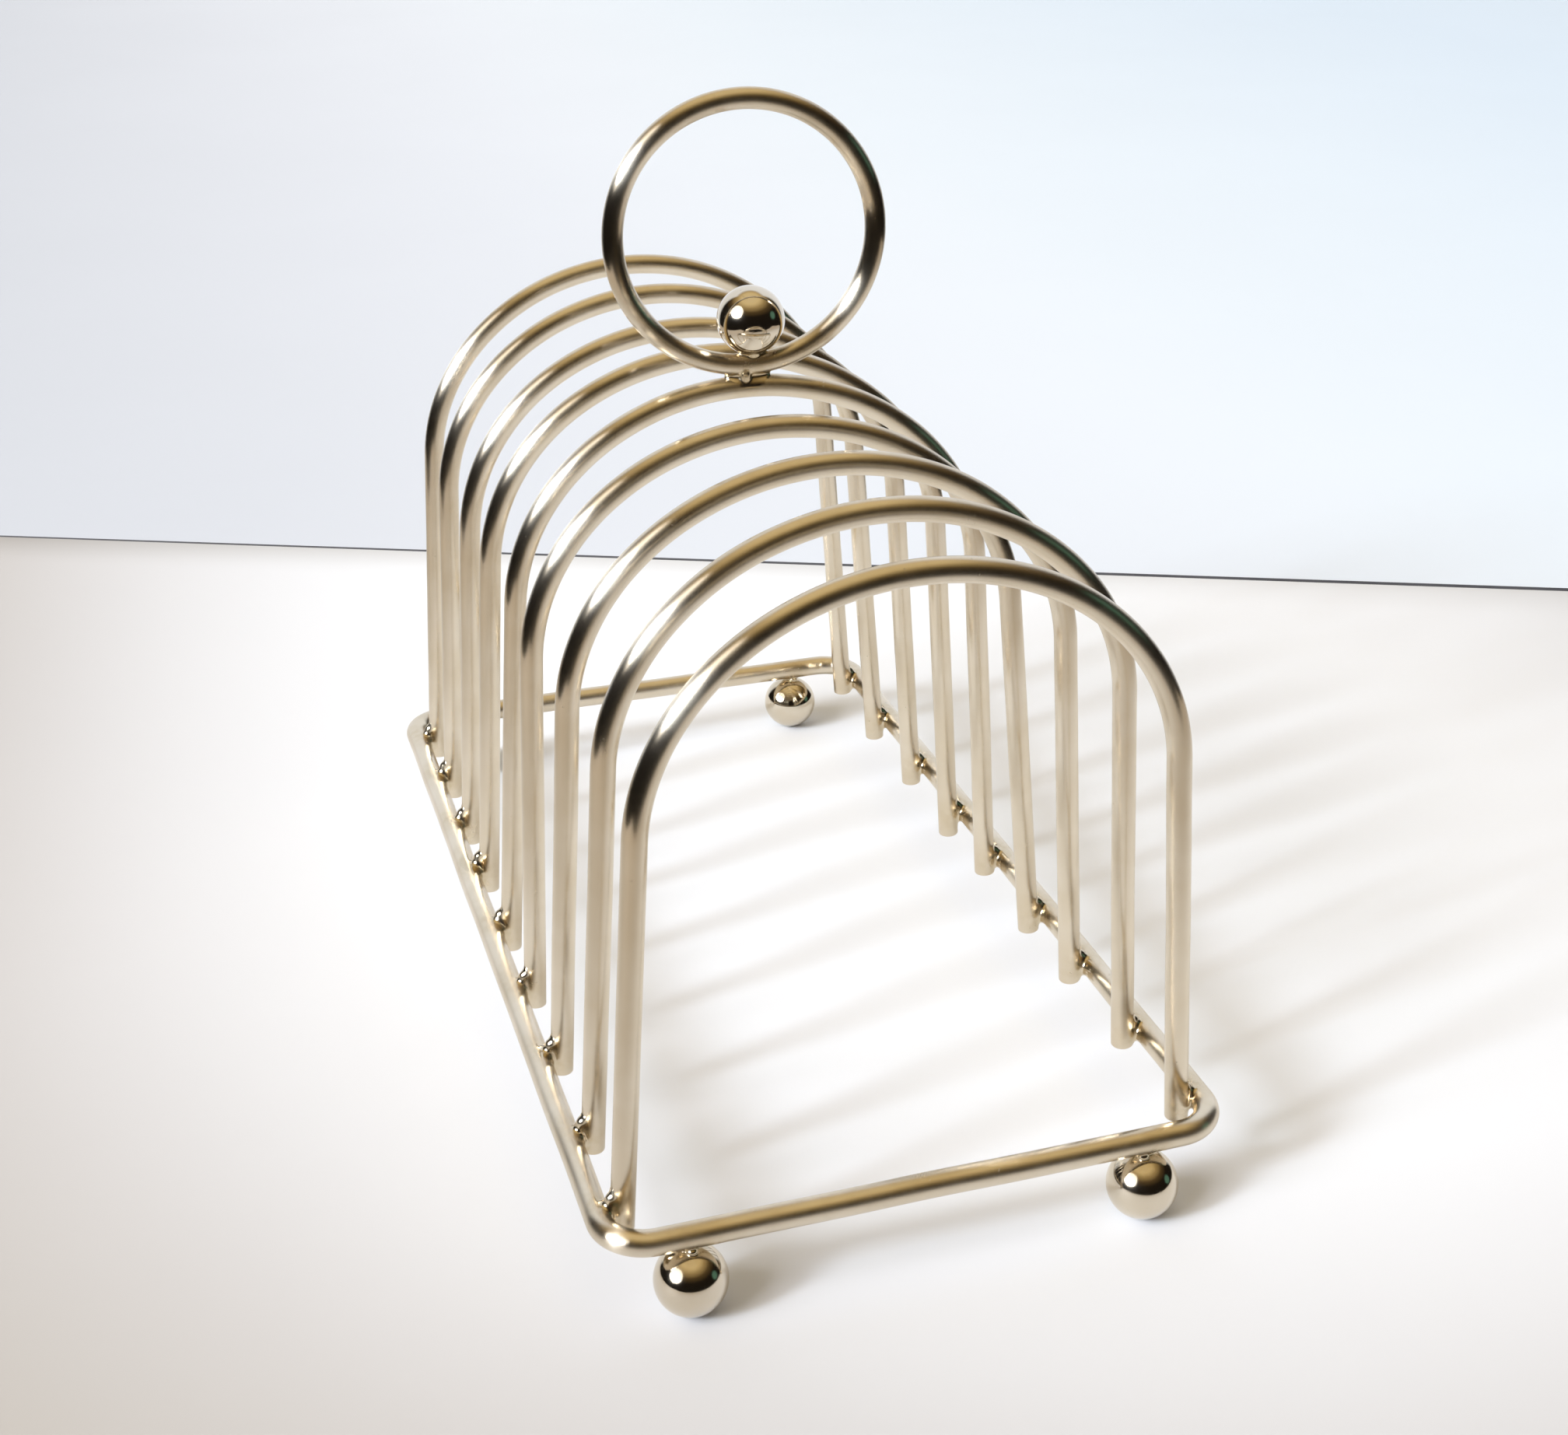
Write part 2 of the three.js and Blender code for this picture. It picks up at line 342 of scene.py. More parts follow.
def make_ball(name, node, centre, flat, seed):
    """A turned ball with a small ground flat, its radius a few hundredths out of true."""
    R = BALL_D / 2
    g = np.random.default_rng(seed)
    lon, lat = 96, 60
    a0 = -math.acos(FOOT_FLAT_D / 2 / R) if flat else -math.pi / 2
    rows = [a0 + (math.pi / 2 - a0) * (k / lat) for k in range(lat + 1)]
    ph = g.uniform(0, 6.28, 4)
    verts, uvs = [], []
    ring_rows = []
    for k, a in enumerate(rows):
        if (k == 0 and not flat) or k == lat:
            verts.append((centre[0], centre[1], centre[2] + R * math.sin(a)))
            ring_rows.append([len(verts) - 1])
            continue
        row = []
        for j in range(lon):
            b = 2 * math.pi * j / lon
            d = 0.0
            if abs(a) < 1.2:
                d = -0.012 * (1 + math.sin(2 * b + ph[0]) * math.cos(2 * a + ph[1])) * math.cos(a)
            q = R + d
            if flat and k == 0:
                q = R - 0.02
            verts.append((centre[0] + q * math.cos(a) * math.cos(b), centre[1] + q * math.cos(a) * math.sin(b), centre[2] + (R if k == 0 and flat else q) * math.sin(a)))
            row.append(len(verts) - 1)
        ring_rows.append(row)
    faces = []
    for k in range(lat):
        A, B = ring_rows[k], ring_rows[k + 1]
        if len(A) == 1:
            faces += [(A[0], B[(j + 1) % lon], B[j]) for j in range(lon)]
        elif len(B) == 1:
            faces += [(A[j], A[(j + 1) % lon], B[0]) for j in range(lon)]
        else:
            faces += [(A[j], A[(j + 1) % lon], B[(j + 1) % lon], B[j]) for j in range(lon)]
    if flat:
        faces.append(tuple(reversed(ring_rows[0])))
    ob = new_mesh(name, verts, faces)
    if flat:
        # the flat has a crisp edge
        me = ob.data
        me.polygons[len(me.polygons) - 1].use_smooth = False
    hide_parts(node)
    return ob


# ----------------------------------------------------------------- weld fillets
def seg_dist(p, a, b, r):
    ab = b - a
    t = np.clip(((p - a) @ ab) / (ab @ ab), 0, 1)
    return np.linalg.norm(p - a - t[:, None] * ab, axis=1) - r


def poly_dist(p, pts, r):
    return np.min([seg_dist(p, pts[i], pts[i + 1], r) for i in range(len(pts) - 1)], axis=0)


def smin(a, b, k):
    h = np.clip(k - np.abs(a - b), 0, None) / k
    return np.minimum(a, b) - h * h * k * 0.25


def blob(p, c, ax, scale):
    q = (p - c) @ ax.T
    k0 = np.linalg.norm(q / scale, axis=1)
    k1 = np.linalg.norm(q / (scale * scale), axis=1) + 1e-9
    return k0 * (k0 - 1.0) / k1


_ico = None


def ico_dirs():
    global _ico
    if _ico is None:
        bm = bmesh.new()
        bmesh.ops.create_icosphere(bm, subdivisions=5, radius=1.0)
        v = np.array([x.co[:] for x in bm.verts])
        v /= np.linalg.norm(v, axis=1)[:, None]
        f = [tuple(x.index for x in face.verts) for face in bm.faces]
        bm.free()
        _ico = (v, f)
    return _ico


def fillet(name, centre, field, reach):
    """The closed lump of weld metal round one contact point: the zero surface of field, inside a ball of the given reach."""
    d, f = ico_dirs()
    c = np.asarray(centre, float)
    step = reach / 48
    inside = np.full(len(d), 0.02)
    alive = np.ones(len(d), bool)
    for k in range(1, 49):
        r = k * step
        # the lump sinks under the wires' skin away from the joint
        val = field(c + d * r) + 0.012 + 0.05 * (r / reach) ** 2
        alive &= val < 0
        inside[alive] = r
    lo = inside.copy()
    hi = np.minimum(inside + step, reach)
    for _ in range(14):
        mid = (lo + hi) / 2
        val = field(c + d * mid[:, None]) + 0.012 + 0.05 * (mid / reach) ** 2
        ok = val < 0
        lo = np.where(ok, mid, lo)
        hi = np.where(ok, hi, mid)
    P = c + d * lo[:, None]
    ob = new_mesh(name, P.tolist(), f)
    return ob


frame_side = {
    1: (np.array([FRAME_HALF_W, -90.0, FRAME_Z]), np.array([FRAME_HALF_W, 90.0, FRAME_Z])),
    -1: (np.array([-FRAME_HALF_W, -90.0, FRAME_Z]), np.array([-FRAME_HALF_W, 90.0, FRAME_Z])),
}
welds = []


def leg_weld(i, side):
    h = HOOPS[i]
    g = np.random.default_rng(1000 + i * 2 + (side > 0))
    lo = leg_point(h, side, FRAME_Z - 9.0)
    hi = leg_point(h, side, FRAME_Z + 9.0)
    at = leg_point(h, side, FRAME_Z)
    a, b = frame_side[side]
    contact = np.array([at[0] + side * (HOOP_WIRE_D / 2 + 0.02), at[1], FRAME_Z + g.uniform(-0.1, 0.25)])
    welds.append(contact)
    k = g.uniform(1.5, 1.9)
    # one smooth nub of weld metal drawn up the leg's outer side, above the frame wire
    up = leg_point(h, side, FRAME_Z + (2.2 if side > 0 else 2.9) + g.uniform(-0.2, 0.3))
    lean = g.uniform(-0.5, 0.5)
    c1 = up + np.array([side * (HOOP_WIRE_D / 2 + g.uniform(-0.05, 0.1)), lean, 0.0])
    c0 = at + np.array([side * (HOOP_WIRE_D / 2 + 0.4), 0.4 * lean, 1.1])
    fat = g.uniform(0.86, 1.02)
    # the leg is cut square below, so the metal stops short of its end
    cut = h[6 if side > 0 else 5] + 0.35

    def field(p):
        v = smin(seg_dist(p, lo, hi, HOOP_WIRE_D / 2), seg_dist(p, a, b, FRAME_WIRE_D / 2), k)
        v = smin(v, seg_dist(p, c0, c1, fat), 1.1)
        return np.maximum(v, cut - p[:, 2])

    return fillet("weld_hoop_%d_%s" % (i + 1, "right" if side > 0 else "left"), contact, field, 5.4)


def foot_weld(name, x, sy, seed):
    g = np.random.default_rng(seed)
    y = sy * FRAME_HALF_L
    flat_drop = math.sqrt((BALL_D / 2) ** 2 - (FOOT_FLAT_D / 2) ** 2)
    c = np.array([x, y, flat_drop])
    a = np.array([x - 9, y, FRAME_Z])
    b = np.array([x + 9, y, FRAME_Z])
    contact = np.array([x, y, (flat_drop + BALL_D / 2 + FRAME_Z - FRAME_WIRE_D / 2) / 2])
    welds.append(contact)
    k = g.uniform(0.9, 1.2)
    n1 = contact + np.array([g.uniform(-0.9, 0.9), -sy * g.uniform(0.9, 1.3), 0.0])
    n2 = contact + np.array([g.uniform(-0.6, 0.6), sy * g.uniform(0.9, 1.3), 0.0])

    def field(p):
        v = smin(np.linalg.norm(p - c, axis=1) - BALL_D / 2, seg_dist(p, a, b, FRAME_WIRE_D / 2), k)
        v = smin(v, blob(p, n1, np.eye(3), np.array([0.8, 0.6, 0.45])), 0.5)
        return smin(v, blob(p, n2, np.eye(3), np.array([0.7, 0.6, 0.45])), 0.5)

    return fillet(name, contact, field, 3.4)


def ring_weld():
    mid = hoop_map(MID)
    top = [mid(HOOP_HALF_W * math.cos(t), HOOP_ARCH_Z + HOOP_ARCH_H * math.sin(t)) for t in np.linspace(math.pi / 2 - 0.2, math.pi / 2 + 0.2, 9)]
    low = [
        np.array([RING_X + RING_R * math.cos(t) * math.cos(RING_YAW), MID_Y + RING_R * math.cos(t) * math.sin(RING_YAW), RING_Z + RING_R * math.sin(t)])
        for t in np.linspace(-math.pi / 2 - 0.35, -math.pi / 2 + 0.35, 13)
    ]
    contact = np.array([RING_X, MID_Y, MID_TOP_Z + WELD_GAP / 2])
    welds.append(contact)
    nub = contact + np.array([-0.7, -1.15, 0.25])
    back = contact + np.array([0.5, 1.1, -0.1])

    def field(p):
        v = smin(poly_dist(p, top, HOOP_WIRE_D / 2), poly_dist(p, low, RING_WIRE_D / 2), 1.5)
        v = smin(v, blob(p, nub, np.eye(3), np.array([0.85, 0.75, 1.15])), 0.6)
        return smin(v, blob(p, back, np.eye(3), np.array([1.1, 0.7, 0.9])), 0.6)

    return fillet("weld_ring_hoop", contact, field, 4.2)


def ring_ball_weld():
    low = [
        np.array([RING_X + RING_R * math.cos(t) * math.cos(RING_YAW), MID_Y + RING_R * math.cos(t) * math.sin(RING_YAW), RING_Z + RING_R * math.sin(t)])
        for t in np.linspace(-math.pi / 2 - 0.35, -math.pi / 2 + 0.35, 13)
    ]
    contact = np.array([RING_BALL[0] - 0.15, MID_Y, RING_FLOOR + 0.08])
    welds.append(contact)
    nub = contact + np.array([0.4, -0.9, 0.0])

    def field(p):
        v = smin(poly_dist(p, low, RING_WIRE_D / 2), np.linalg.norm(p - RING_BALL, axis=1) - BALL_D / 2, 1.1)
        return smin(v, blob(p, nub, np.eye(3), np.array([0.9, 0.6, 0.5])), 0.5)

    return fillet("weld_ring_ball", contact, field, 3.4)


# ------------------------------------------------------------------- materials
def node(nt, kind, x, y, **values):
    n = nt.nodes.new(kind)
    n.location = (x, y)
    for k, v in values.items():
        setattr(n, k, v)
    return n


def plated(name, colour, rough, scratch, spot_seed, uv_lines, grain=0.0):
    mat = bpy.data.materials.new(name)
    mat.use_nodes = True
    nt = mat.node_tree
    nt.nodes.clear()
    L = nt.links.new
    out = node(nt, "ShaderNodeOutputMaterial", 900, 0)
    bsdf = node(nt, "ShaderNodeBsdfPrincipled", 620, 0)
    bsdf.inputs["Metallic"].default_value = 1.0
    L(bsdf.outputs[0], out.inputs[0])
    if uv_lines:
        # the wire was drawn: its gloss is softer round the wire than along it
        round_wire = node(nt, "ShaderNodeTangent", 380, -400, direction_type="UV_MAP", uv_map="run")
        L(round_wire.outputs[0], bsdf.inputs["Tangent"])
        bsdf.inputs["Anisotropic"].default_value = grain
    tc = node(nt, "ShaderNodeTexCoord", -1500, 0)

    # slow change of tone in the plating, a few millimetres across
    cloud = node(nt, "ShaderNodeTexNoise", -1150, 420)
    cloud.inputs["Scale"].default_value = 90.0
    cloud.inputs["Detail"].default_value = 3.0
    cloud.inputs["Roughness"].default_value = 0.55
    L(tc.outputs["Object"], cloud.inputs["Vector"])
    tone = node(nt, "ShaderNodeValToRGB", -900, 420)
    tone.color_ramp.elements[0].position = 0.3
    tone.color_ramp.elements[0].color = (colour[0] * 0.94, colour[1] * 0.92, colour[2] * 0.88, 1)
    tone.color_ramp.elements[1].position = 0.7
    tone.color_ramp.elements[1].color = (min(1, colour[0] * 1.04), min(1, colour[1] * 1.05), min(1, colour[2] * 1.07), 1)
    L(cloud.outputs["Fac"], tone.inputs["Fac"])

    # small specks of handling wear and dust that has dried on
    speck = node(nt, "ShaderNodeTexNoise", -1150, 120)
    speck.inputs["Scale"].default_value = 1500.0
    speck.inputs["Detail"].default_value = 2.0
    L(tc.outputs["Object"], speck.inputs["Vector"])
    speck_cut = node(nt, "ShaderNodeMapRange", -900, 120)
    speck_cut.inputs["From Min"].default_value = 0.66
    speck_cut.inputs["From Max"].default_value = 0.74
    L(speck.outputs["Fac"], speck_cut.inputs["Value"])
    patch = node(nt, "ShaderNodeTexNoise", -1150, -120)
    patch.inputs["Scale"].default_value = 160.0
    patch.inputs["Detail"].default_value = 1.0
    L(tc.outputs["Object"], patch.inputs["Vector"])
    patch_cut = node(nt, "ShaderNodeMapRange", -900, -120)
    patch_cut.inputs["From Min"].default_value = 0.5
    patch_cut.inputs["From Max"].default_value = 0.66
    L(patch.outputs["Fac"], patch_cut.inputs["Value"])
    both = node(nt, "ShaderNodeMath", -680, 0, operation="MULTIPLY")
    L(speck_cut.outputs[0], both.inputs[0])
    L(patch_cut.outputs[0], both.inputs[1])

    # the yellow-brown heat tint and dirt that stay round a weld
    heat = node(nt, "ShaderNodeAttribute", -1150, 700, attribute_name="weld_heat")
    heat_noise = node(nt, "ShaderNodeTexNoise", -1150, 900)
    heat_noise.inputs["Scale"].default_value = 700.0
    heat_noise.inputs["Detail"].default_value = 3.0
    L(tc.outputs["Object"], heat_noise.inputs["Vector"])
    heat_mul = node(nt, "ShaderNodeMath", -900, 760, operation="MULTIPLY")
    L(heat.outputs["Fac"], heat_mul.inputs[0])
    L(heat_noise.outputs["Fac"], heat_mul.inputs[1])
    tinted = node(nt, "ShaderNodeMix", -500, 500, data_type="RGBA")
    tinted.inputs["B"].default_value = (colour[0] * 0.72, colour[1] * 0.62, colour[2] * 0.42, 1)
    L(heat_mul.outputs[0], tinted.inputs["Factor"])
    L(tone.outputs["Color"], tinted.inputs["A"])
    dirty = node(nt, "ShaderNodeMix", -260, 400, data_type="RGBA")
    dirty.inputs["B"].default_value = (0.30, 0.26, 0.20, 1)
    dirt_amount = node(nt, "ShaderNodeMath", -480, 160, operation="MULTIPLY")
    dirt_amount.inputs[1].default_value = 0.2 if uv_lines else 0.35
    L(both.outputs[0], dirt_amount.inputs[0])
    L(dirt_amount.outputs[0], dirty.inputs["Factor"])
    L(tinted.outputs["Result"], dirty.inputs["A"])
    L(dirty.outputs["Result"], bsdf.inputs["Base Color"])

    # roughness: polished, slightly hazier in patches, rougher at welds
    haze = node(nt, "ShaderNodeTexNoise", -1150, -360)
    haze.inputs["Scale"].default_value = 240.0
    haze.inputs["Detail"].default_value = 4.0
    L(tc.outputs["Object"], haze.inputs["Vector"])
    haze_map = node(nt, "ShaderNodeMapRange", -900, -360)
    haze_map.inputs["From Min"].default_value = 0.3
    haze_map.inputs["From Max"].default_value = 0.75
    haze_map.inputs["To Min"].default_value = rough * (0.92 if uv_lines else 0.75)
    haze_map.inputs["To Max"].default_value = rough * (1.12 if uv_lines else 1.45)
    L(haze.outputs["Fac"], haze_map.inputs["Value"])
    add1 = node(nt, "ShaderNodeMath", -480, -260, operation="MULTIPLY_ADD")
    add1.inputs[1].default_value = 0.05 if uv_lines else 0.22
    L(both.outputs[0], add1.inputs[0])
    L(haze_map.outputs[0], add1.inputs[2])
    add2 = node(nt, "ShaderNodeMath", -260, -260, operation="MULTIPLY_ADD")
    add2.inputs[1].default_value = 0.10
    L(heat_mul.outputs[0], add2.inputs[0])
    L(add1.outputs[0], add2.inputs[2])
    L(add2.outputs[0], bsdf.inputs["Roughness"])

    # bump: drawing lines along the wire, hairline scratches, faint orange peel
    peel = node(nt, "ShaderNodeTexNoise", -1150, -640)
    peel.inputs["Scale"].default_value = 420.0
    peel.inputs["Detail"].default_value = 2.0
    L(tc.outputs["Object"], peel.inputs["Vector"])
    b1 = node(nt, "ShaderNodeBump", -200, -560)
    b1.inputs["Strength"].default_value = 0.02 if uv_lines else 0.10
    b1.inputs["Distance"].default_value = 0.0001
    L(peel.outputs["Fac"], b1.inputs["Height"])
    last = b1
    if uv_lines:
        uvn = node(nt, "ShaderNodeUVMap", -1500, -900, uv_map="run")
        stretch = node(nt, "ShaderNodeMapping", -1320, -900)
        stretch.inputs["Scale"].default_value = (1.0, 2.2, 1.0)
        L(uvn.outputs["UV"], stretch.inputs["Vector"])
        lines = node(nt, "ShaderNodeTexNoise", -1150, -900)
        lines.inputs["Scale"].default_value = 55.0
        lines.inputs["Detail"].default_value = 3.0
        L(stretch.outputs["Vector"], lines.inputs["Vector"])
        b2 = node(nt, "ShaderNodeBump", 20, -640)
        b2.inputs["Strength"].default_value = 0.02
        b2.inputs["Distance"].default_value = 0.00005
        L(lines.outputs["Fac"], b2.inputs["Height"])
        L(last.outputs["Normal"], b2.inputs["Normal"])
        last = b2
    hair_map = node(nt, "ShaderNodeMapping", -1320, -1160)
    hair_map.inputs["Rotation"].default_value = (0.5, 0.3, 0.9)
    hair_map.inputs["Scale"].default_value = (900.0, 140.0, 260.0)
    L(tc.outputs["Object"], hair_map.inputs["Vector"])
    hair = node(nt, "ShaderNodeTexVoronoi", -1150, -1160, feature="DISTANCE_TO_EDGE")
    hair.inputs["Scale"].default_value = 1.0
    L(hair_map.outputs["Vector"], hair.inputs["Vector"])
    hair_cut = node(nt, "ShaderNodeMapRange", -900, -1160)
    hair_cut.inputs["From Min"].default_value = 0.0
    hair_cut.inputs["From Max"].default_value = 0.035
    L(hair.outputs["Distance"], hair_cut.inputs["Value"])
    b3 = node(nt, "ShaderNodeBump", 240, -720)
    b3.inputs["Strength"].default_value = scratch
    b3.inputs["Distance"].default_value = 0.00002
    L(hair_cut.outputs[0], b3.inputs["Height"])
    L(last.outputs["Normal"], b3.inputs["Normal"])
    L(b3.outputs["Normal"], bsdf.inputs["Normal"])
    return mat


NICKEL = (0.690, 0.612, 0.490)
WIRE_MAT = plated("nickel_plate_wire", (0.73, 0.645, 0.51), 0.225, 0.04, 1, True, 0.98)
BALL_MAT = plated("nickel_plate_ball", (0.685, 0.612, 0.495), 0.095, 0.06, 2, False)
WELD_MAT = plated("nickel_plate_weld", (0.68, 0.60, 0.465), 0.15, 0.10, 3, False)


def finish_piece(ob, mat, slot):
    ob.data.materials.clear()
    ob.data.materials.append(mat)
    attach(ob, "root")
    return ob


pieces = []
pieces.append((make_frame(), WIRE_MAT, "plated_wire"))
for i in range(9):
    pieces.append((make_hoop(i), WIRE_MAT, "plated_wire"))
pieces.append((make_ring(), WIRE_MAT, "plated_wire"))
pieces.append((make_ball("ring_ball_body", "ring_ball", RING_BALL, False, 31), BALL_MAT, "plated_ball"))
drop = math.sqrt((BALL_D / 2) ** 2 - (FOOT_FLAT_D / 2) ** 2)
for nm, x, s, seed in (
    ("front_left", FOOT_X_FRONT[0], -1, 41),
    ("front_right", FOOT_X_FRONT[1], -1, 42),
    ("rear_left", FOOT_X_REAR[0], 1, 43),
    ("rear_right", FOOT_X_REAR[1], 1, 44),
):
    pieces.append((make_ball("ball_" + nm, "foot_" + nm, np.array([x, s * FRAME_HALF_L, drop]), True, seed), BALL_MAT, "plated_ball"))
    pieces.append((foot_weld("weld_foot_" + nm, x, s, seed + 500), WELD_MAT, "plated_wire"))
for i in range(9):
    for side in (-1, 1):
        pieces.append((leg_weld(i, side), WELD_MAT, "plated_wire"))
pieces.append((ring_weld(), WELD_MAT, "plated_wire"))
pieces.append((ring_ball_weld(), WELD_MAT, "plated_wire"))

W = np.array(welds)
for ob, mat, slot in pieces:
    me = ob.data
    co = np.empty(len(me.vertices) * 3, np.float32)
    me.vertices.foreach_get("co", co)
    co = co.reshape(-1, 3) / MM
    d = np.min(np.linalg.norm(co[:, None, :] - W[None, :, :], axis=2), axis=1)
    heat = np.clip(1.15 - d / 7.0, 0, 1) ** 1.6
    at = me.attributes.new("weld_heat", "FLOAT", "POINT")
    at.data.foreach_set("value", heat.astype(np.float32))
    finish_piece(ob, mat, slot)

# ----------------------------------------------------------------------- stage
def paper(name, vary, stops, centre=None):
    """Pale paper with painted light and shade in its colour: the colour follows the stops with the distance from
    centre, or along X where centre is None.
    """
    mat = bpy.data.materials.new(name)
    mat.use_nodes = True
    nt = mat.node_tree
    bsdf = nt.nodes["Principled BSDF"]
    L = nt.links.new
    tc = node(nt, "ShaderNodeTexCoord", -1500, 0)
    sp = node(nt, "ShaderNodeSeparateXYZ", -1320, 300)
    L(tc.outputs["Object"], sp.inputs[0])
    lo, hi = stops[0][0], stops[-1][0]
    if centre is None:
        value = sp.outputs["X"]
    else:
        dx = node(nt, "ShaderNodeMath", -1150, 420, operation="SUBTRACT")
        dx.inputs[1].default_value = centre[0]
        L(sp.outputs["X"], dx.inputs[0])
        dy = node(nt, "ShaderNodeMath", -1150, 260, operation="SUBTRACT")
        dy.inputs[1].default_value = centre[1]
        L(sp.outputs["Y"], dy.inputs[0])
        near = node(nt, "ShaderNodeMath", -980, 260, operation="MINIMUM")
        near.inputs[1].default_value = 0.0
        L(dy.outputs[0], near.inputs[0])
        back = node(nt, "ShaderNodeMath", -980, 100, operation="MAXIMUM")
        back.inputs[1].default_value = 0.0
        L(dy.outputs[0], back.inputs[0])
        back2 = node(nt, "ShaderNodeMath", -820, 100, operation="MULTIPLY")
        back2.inputs[1].default_value = 0.25
        L(back.outputs[0], back2.inputs[0])
        comb = node(nt, "ShaderNodeCombineXYZ", -660, 260)
        L(dx.outputs[0], comb.inputs[0])
        L(near.outputs[0], comb.inputs[1])
        L(back2.outputs[0], comb.inputs[2])
        ln = node(nt, "ShaderNodeVectorMath", -500, 260, operation="LENGTH")
        L(comb.outputs[0], ln.inputs[0])
        value = ln.outputs["Value"]
    fit = node(nt, "ShaderNodeMapRange", -340, 260)
    fit.inputs["From Min"].default_value = lo
    fit.inputs["From Max"].default_value = hi
    L(value, fit.inputs["Value"])
    ramp = node(nt, "ShaderNodeValToRGB", -160, 260)
    ramp.color_ramp.interpolation = "B_SPLINE" if len(stops) > 3 else "EASE"
    els = ramp.color_ramp.elements
    els[0].position, els[0].color = 0.0, (*stops[0][1], 1)
    els[1].position, els[1].color = 1.0, (*stops[-1][1], 1)
    for d, c in stops[1:-1]:
        e = els.new((d - lo) / (hi - lo))
        e.color = (*c, 1)
    L(fit.outputs[0], ramp.inputs["Fac"])
    n1 = node(nt, "ShaderNodeTexNoise", -700, -100)
    n1.inputs["Scale"].default_value = 7.0
    n1.inputs["Detail"].default_value = 4.0
    L(tc.outputs["Object"], n1.inputs["Vector"])
    m1 = node(nt, "ShaderNodeMapRange", -500, -100)
    m1.inputs["From Min"].default_value = 0.3
    m1.inputs["From Max"].default_value = 0.7
    m1.inputs["To Min"].default_value = 1.0 - vary
    m1.inputs["To Max"].default_value = 1.0
    L(n1.outputs["Fac"], m1.inputs["Value"])
    mul = node(nt, "ShaderNodeVectorMath", 120, 200, operation="MULTIPLY")
    L(ramp.outputs["Color"], mul.inputs[0])
    L(m1.outputs[0], mul.inputs[1])
    L(mul.outputs[0], bsdf.inputs["Base Color"])
    n2 = node(nt, "ShaderNodeTexNoise", -700, -350)
    n2.inputs["Scale"].default_value = 260.0
    n2.inputs["Detail"].default_value = 6.0
    L(tc.outputs["Object"], n2.inputs["Vector"])
    bump = node(nt, "ShaderNodeBump", -250, -350)
    bump.inputs["Strength"].default_value = 0.08
    bump.inputs["Distance"].default_value = 0.0002
    L(n2.outputs["Fac"], bump.inputs["Height"])
    L(bump.outputs["Normal"], bsdf.inputs["Normal"])
    bsdf.inputs["Roughness"].default_value = 0.8
    bsdf.inputs["Specular IOR Level"].default_value = 0.2
    return mat


def sheet(name, profile, x0, x1, mat):
    """A sheet of paper: profile gives (y, z, slant) rows front to back, in metres."""
    verts, faces = [], []
    for y, z, slant in profile:
        verts.append((x0, y + slant * x0, z))
        verts.append((x1, y + slant * x1, z))
    for k in range(len(profile) - 1):
        faces.append((2 * k, 2 * k + 1, 2 * k + 3, 2 * k + 2))
    me = bpy.data.meshes.new(name)
    me.from_pydata(verts, [], faces)
    me.update()
    me.polygons.foreach_set("use_smooth", [True] * len(me.polygons))
    ob = bpy.data.objects.new(name, me)
    bpy.context.scene.collection.objects.link(ob)
    me.materials.append(mat)
    return ob


# painted light and shade: the near paper is palest round a point just right of and behind the rack's middle, and
# darkens and warms with painted shade towards the front and both sides, hardly at all behind
near_paper_painted_light_mat = paper(
    "paper_near_painted_light",
    0.02,
    [(0.10, (0.925, 0.935, 0.955)), (0.145, (0.85, 0.855, 0.87)), (0.19, (0.73, 0.725, 0.73)), (0.23, (0.60, 0.575, 0.56)), (0.275, (0.49, 0.455, 0.41)), (0.36, (0.50, 0.43, 0.35))],
    (0.085, 0.045),
)
# painted light and shade: the far paper darkens towards the left and turns bluer towards the right
far_paper_painted_light_mat = paper("paper_far_painted_light", 0.015, [(-0.2, (0.56, 0.58, 0.62)), (0.10, (0.78, 0.81, 0.87)), (0.30, (0.79, 0.85, 0.90)), (0.75, (0.68, 0.79, 0.91))])
# the sheet the rack stands on ends in front of it, and its back edge lies at a slant
EDGE_Y, EDGE_SLANT = 0.2262, -0.44
rows = [(-0.255, -0.0004, 0.0), (-0.25, 0.0, 0.0), (-0.1, 0.0, 0.0)]
rows += [(EDGE_Y - 0.02, 0.0, EDGE_SLANT), (EDGE_Y, 0.0, EDGE_SLANT), (EDGE_Y + 0.0005, -0.0004, EDGE_SLANT), (EDGE_Y + 0.0005, -0.0016, EDGE_SLANT)]
sheet("floor_near", rows, -0.30, 0.45, near_paper_painted_light_mat)
# painted shadow: a dark strip behind its back edge, wider to the right, standing for the shade in the gap there
shadow_strip_mat = paper("painted_shadow_strip", 0.2, [(-0.3, (0.13, 0.13, 0.14)), (0.45, (0.07, 0.07, 0.08))])
sheet("floor_shadow_strip", [(EDGE_Y + 0.0005, -0.0012, EDGE_SLANT), (EDGE_Y + 0.0049, -0.0012, EDGE_SLANT + 0.003)], -0.30, 0.45, shadow_strip_mat)
floor_far = sheet("floor_far", [(-8.0, -0.0016, 0.0), (0.0, -0.0016, 0.0), (8.0, -0.0016, 0.0)], -8.0, 8.0, far_paper_painted_light_mat)
# the metal mirrors the room beyond the sheet, not this endless floor
floor_far.visible_glossy = False

# ----------------------------------------------------------------------- world
world = bpy.data.worlds.new("studio")
bpy.context.scene.world = world
world.use_nodes = True
wt = world.node_tree
wt.nodes.clear()
WL = wt.links.new
wout = node(wt, "ShaderNodeOutputWorld", 1400, 0)
tc = node(wt, "ShaderNodeTexCoord", -1400, 0)
sep = node(wt, "ShaderNodeSeparateXYZ", -1200, 0)
WL(tc.outputs["Generated"], sep.inputs[0])


